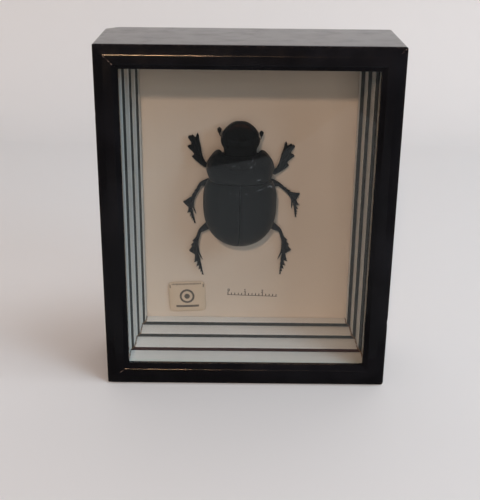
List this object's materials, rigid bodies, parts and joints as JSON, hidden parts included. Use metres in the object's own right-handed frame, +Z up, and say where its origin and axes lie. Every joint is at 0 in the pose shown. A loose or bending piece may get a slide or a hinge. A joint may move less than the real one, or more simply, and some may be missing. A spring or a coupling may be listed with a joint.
{
  "type": "framed beetle shadow box",
  "caption": "Deep black lacquered frame with a glass front and a stepped white liner, holding a large dried dung beetle spread on a card with a small preservative sachet.",
  "frame": {"origin": "middle of the box's footprint, on the surface it stands on", "axes": "+Z up along the frame's height, +Y from the glass to the back, +X to the right as seen from the front"},
  "size_m": [0.15, 0.0544, 0.183],
  "materials": {
    "lacquer": "black gloss lacquer, lightly worn at the edges",
    "glass": "clear picture glass",
    "liner": "white paper on the treads, matt black on the risers, raw brown at the mitres",
    "card": "cream card, matt",
    "board": "brown pressed board",
    "steel": "plated steel, slightly dull",
    "packet": "glazed paper with a plain printed border",
    "shell": "black chitin, satin, finely pitted"
  },
  "bodies": {
    "root": {"rail_bottom": "lacquer", "rail_top": "lacquer", "rail_left": "lacquer", "rail_right": "lacquer", "glass_pane": "glass", "liner_bottom": "liner", "liner_top": "liner", "liner_left": "liner", "liner_right": "liner", "backing_card": "card", "back_board": "board", "framer_point_bottom_1": "steel", "framer_point_bottom_2": "steel", "framer_point_top_1": "steel", "framer_point_top_2": "steel", "framer_point_left_1": "steel", "framer_point_left_2": "steel", "framer_point_right_1": "steel", "framer_point_right_2": "steel", "sawtooth_hanger": "steel", "hanger_pin_left": "steel", "hanger_pin_right": "steel", "preservative_sachet": "packet", "beetle_head": "shell", "beetle_pronotum": "shell", "beetle_elytron_left": "shell", "beetle_elytron_right": "shell", "beetle_underside": "shell", "beetle_antenna_left": "shell", "beetle_antenna_right": "shell", "beetle_fore_left_femur": "shell", "beetle_fore_left_tibia": "shell", "beetle_fore_right_femur": "shell", "beetle_fore_right_tibia": "shell", "beetle_middle_left_femur": "shell", "beetle_middle_left_tibia": "shell", "beetle_middle_left_tarsus": "shell", "beetle_middle_right_femur": "shell", "beetle_middle_right_tibia": "shell", "beetle_middle_right_tarsus": "shell", "beetle_hind_left_femur": "shell", "beetle_hind_left_tibia": "shell", "beetle_hind_left_tarsus": "shell", "beetle_hind_right_femur": "shell", "beetle_hind_right_tibia": "shell", "beetle_hind_right_tarsus": "shell"}
  },
  "joints": []
}
